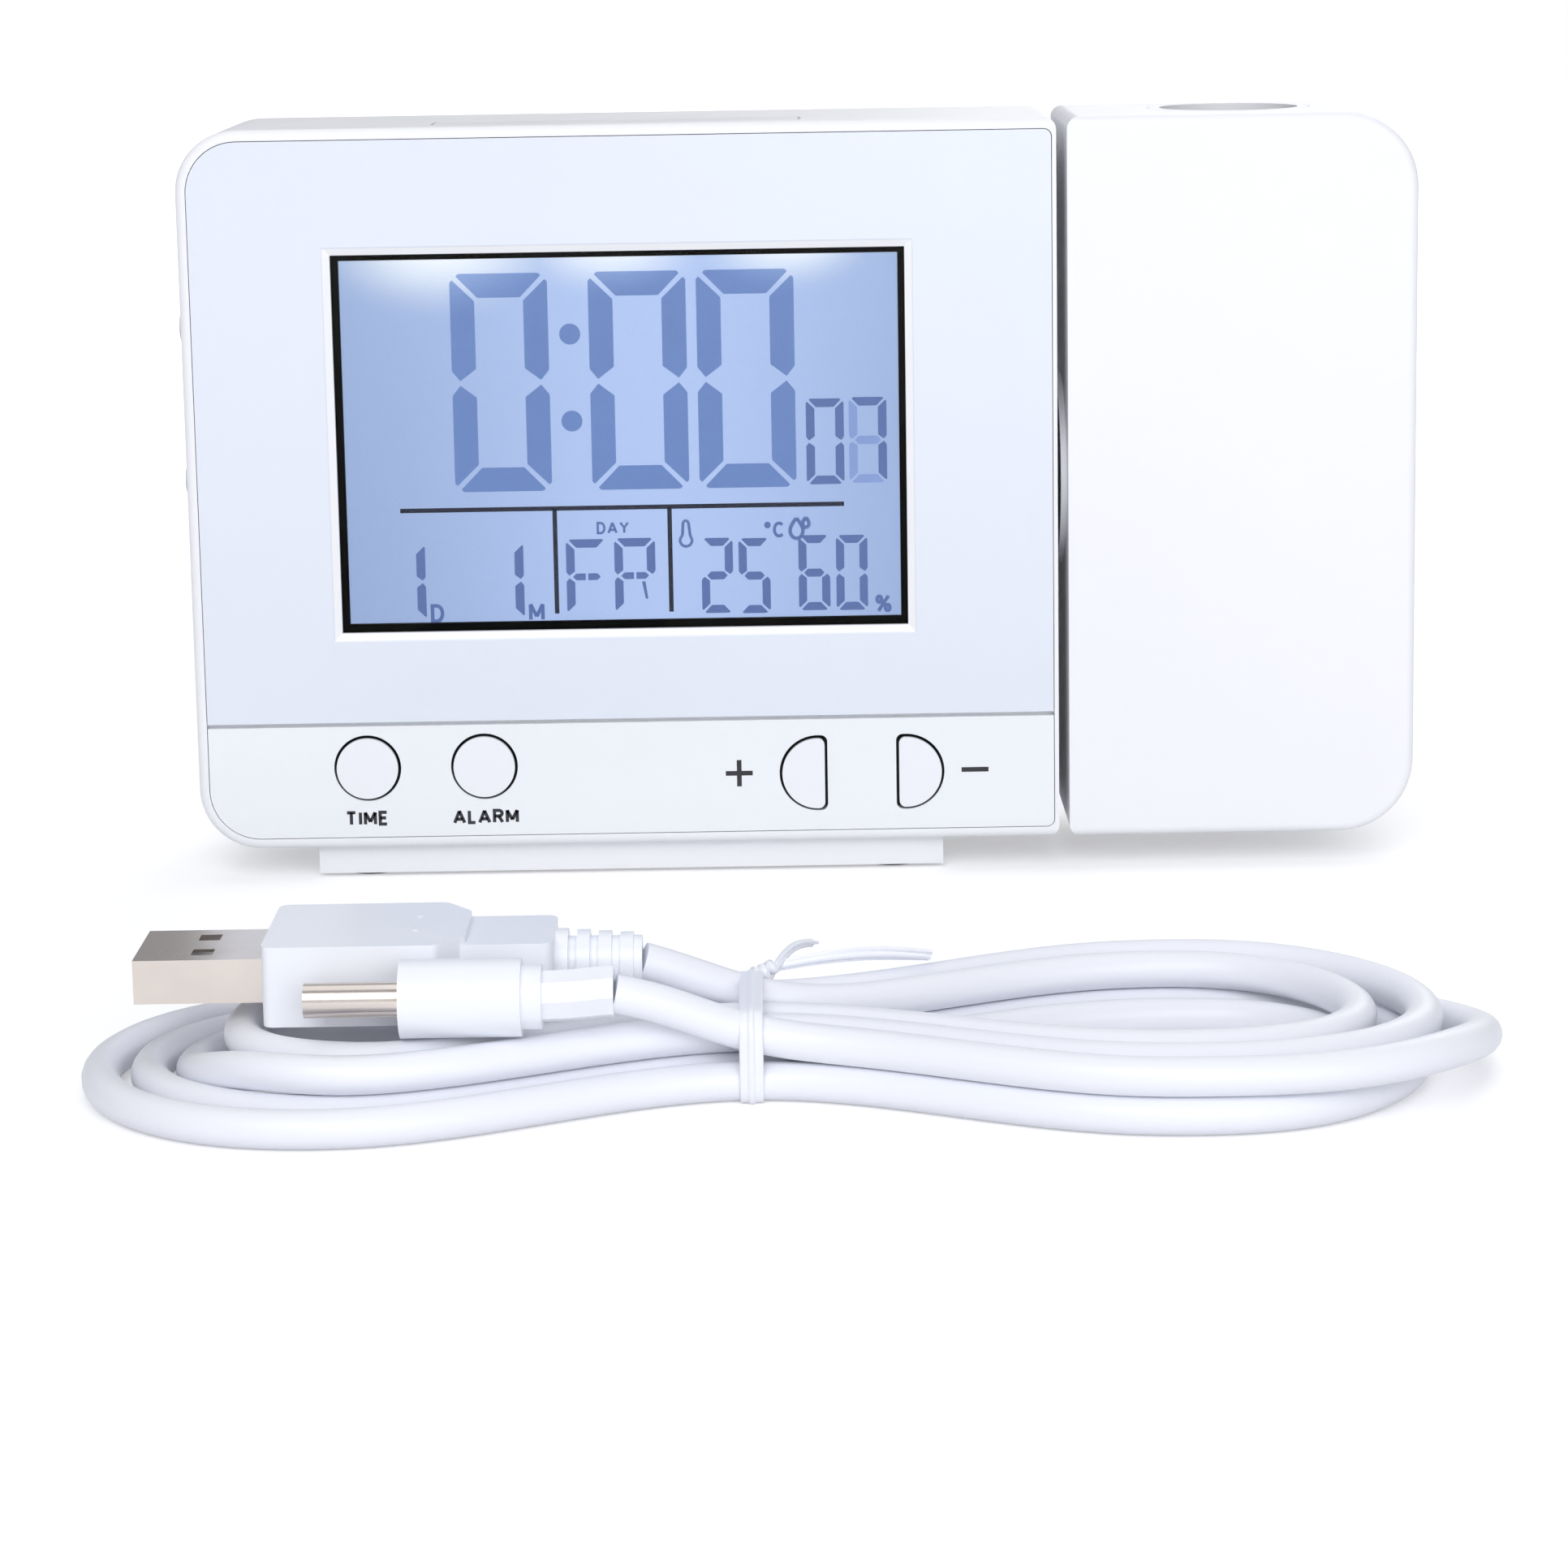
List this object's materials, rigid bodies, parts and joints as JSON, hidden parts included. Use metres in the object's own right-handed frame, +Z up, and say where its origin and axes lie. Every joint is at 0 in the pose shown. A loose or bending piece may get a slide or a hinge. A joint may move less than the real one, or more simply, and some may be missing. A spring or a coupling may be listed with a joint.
{
  "type": "projection alarm clock",
  "caption": "Low white desk clock on a foot, with a lit display, front and side keys, a tilting projector block with a focus wheel, and a tied USB lead.",
  "frame": {"origin": "centre of the clock's outer box, on the table that its foot stands on; the loose USB lead isn't counted", "axes": "+Z up, display and keys face -Y, projector block on +X"},
  "size_m": [0.1498, 0.1405, 0.0921],
  "materials": {
    "white_plastic": "fine satin white moulding",
    "face_white": "smooth cool white plate",
    "key_plate_white": "smooth white plate",
    "key_white": "satin white key",
    "clear_acrylic": "clear polished acrylic",
    "lens_glass": "clear polished lens",
    "lcd_glass": "polarised glass lit from behind in pale blue",
    "led_white": "clear white resin",
    "holder_white": "white reflecting plastic",
    "board_green": "green solder mask",
    "black_plastic": "black moulding",
    "foam_black": "black foam",
    "zebra_rubber": "pink and black elastomer",
    "steel": "zinc plated steel",
    "fibre": "brown fibre",
    "cell_jacket": "plain dark jacket",
    "pad_rubber": "soft rubber",
    "wire_red": "red insulation",
    "cable_white": "soft white PVC",
    "plug_metal": "nickel plated steel"
  },
  "bodies": {
    "clock": {"front_shell": "white_plastic", "face_plate": "face_white", "key_plate": "key_plate_white", "lcd_window": "clear_acrylic", "lcd_gasket": "foam_black", "lcd_cell": "lcd_glass", "light_guide": "clear_acrylic", "backlight_leds": "led_white", "lcd_holder": "holder_white", "zebra_strip": "zebra_rubber", "main_board": "board_green", "board_parts": "black_plastic", "key_switches": "black_plastic", "board_screws": "steel", "buzzer": "black_plastic", "climate_sensor": "board_green", "rear_shell": "white_plastic", "battery_contacts": "steel", "battery_cells": "cell_jacket", "power_inlet": "black_plastic", "case_screws": "steel", "foot": "white_plastic", "foot_pads": "pad_rubber", "foot_screws": "steel", "hub_bush": "black_plastic", "wave_washer": "steel", "friction_washer": "fibre", "clock_wires": "wire_red", "cable_hank": "cable_white", "cable_leads": "cable_white", "usb_shell": "plug_metal", "usb_plug": "cable_white", "barrel_plug": "cable_white", "barrel_tip": "plug_metal", "twist_tie": "cable_white"},
    "projector": {"projector_front_shell": "white_plastic", "projector_rear_shell": "white_plastic", "projector_screws": "steel", "hub_shaft": "black_plastic", "hub_clip": "steel", "optics_frame": "black_plastic", "optics_screws": "steel", "led_board": "board_green", "projector_led": "led_white", "condenser_lens": "lens_glass", "projector_lcd": "lcd_glass", "projector_wires": "wire_red", "lens_bezel": "white_plastic"},
    "focus_wheel": {"focus_wheel": "black_plastic"},
    "lens_barrel": {"lens_barrel": "black_plastic", "projection_lens": "lens_glass", "lens_ring": "steel"},
    "time_key": {"time_key": "key_white"},
    "alarm_key": {"alarm_key": "key_white"},
    "plus_key": {"plus_key": "key_white"},
    "minus_key": {"minus_key": "key_white"},
    "upper_side_key": {"upper_side_key": "key_white"},
    "lower_side_key": {"lower_side_key": "key_white"},
    "snooze_bar": {"snooze_bar": "key_white"},
    "battery_door": {"battery_door": "white_plastic"}
  },
  "joints": [
    {"name": "projector_tilt", "type": "hinge", "parent": "clock", "child": "projector", "pos_m": [0.03265, -0.0005, 0.0481], "axis": [1, 0, 0], "range_deg": [-90, 90]},
    {"name": "focus_turn", "type": "hinge", "parent": "projector", "child": "focus_wheel", "pos_m": [0.05375, 0.002, 0.0735], "axis": [0, 0, 1], "range_deg": [-135, 135]},
    {"name": "lens_slide", "type": "slide", "parent": "projector", "child": "lens_barrel", "axis": [0, 0, 1], "range_m": [-0.0015, 0.0015]},
    {"name": "time_key_press", "type": "slide", "parent": "clock", "child": "time_key", "axis": [0, 1, 0], "range_m": [0, 0.0005], "stiffness_N_per_m": 900, "springref_m": -0.0003},
    {"name": "alarm_key_press", "type": "slide", "parent": "clock", "child": "alarm_key", "axis": [0, 1, 0], "range_m": [0, 0.0005], "stiffness_N_per_m": 900, "springref_m": -0.0003},
    {"name": "plus_key_press", "type": "slide", "parent": "clock", "child": "plus_key", "axis": [0, 1, 0], "range_m": [0, 0.0005], "stiffness_N_per_m": 900, "springref_m": -0.0003},
    {"name": "minus_key_press", "type": "slide", "parent": "clock", "child": "minus_key", "axis": [0, 1, 0], "range_m": [0, 0.0005], "stiffness_N_per_m": 900, "springref_m": -0.0003},
    {"name": "upper_side_key_press", "type": "slide", "parent": "clock", "child": "upper_side_key", "axis": [1, 0, 0], "range_m": [0, 0.0005], "stiffness_N_per_m": 900, "springref_m": -0.0003},
    {"name": "lower_side_key_press", "type": "slide", "parent": "clock", "child": "lower_side_key", "axis": [1, 0, 0], "range_m": [0, 0.0005], "stiffness_N_per_m": 900, "springref_m": -0.0003},
    {"name": "snooze_bar_press", "type": "slide", "parent": "clock", "child": "snooze_bar", "axis": [0, 0, -1], "range_m": [0, 0.0005], "stiffness_N_per_m": 900, "springref_m": -0.0003},
    {"name": "battery_door_swing", "type": "hinge", "parent": "clock", "child": "battery_door", "pos_m": [-0.0304, 0.014, 0.02235], "axis": [-1, 0, 0], "range_deg": [0, 95]}
  ],
  "couplings": [
    {"joint": "focus_turn", "follows": "lens_slide", "rad_per_m": -1396.3}
  ]
}
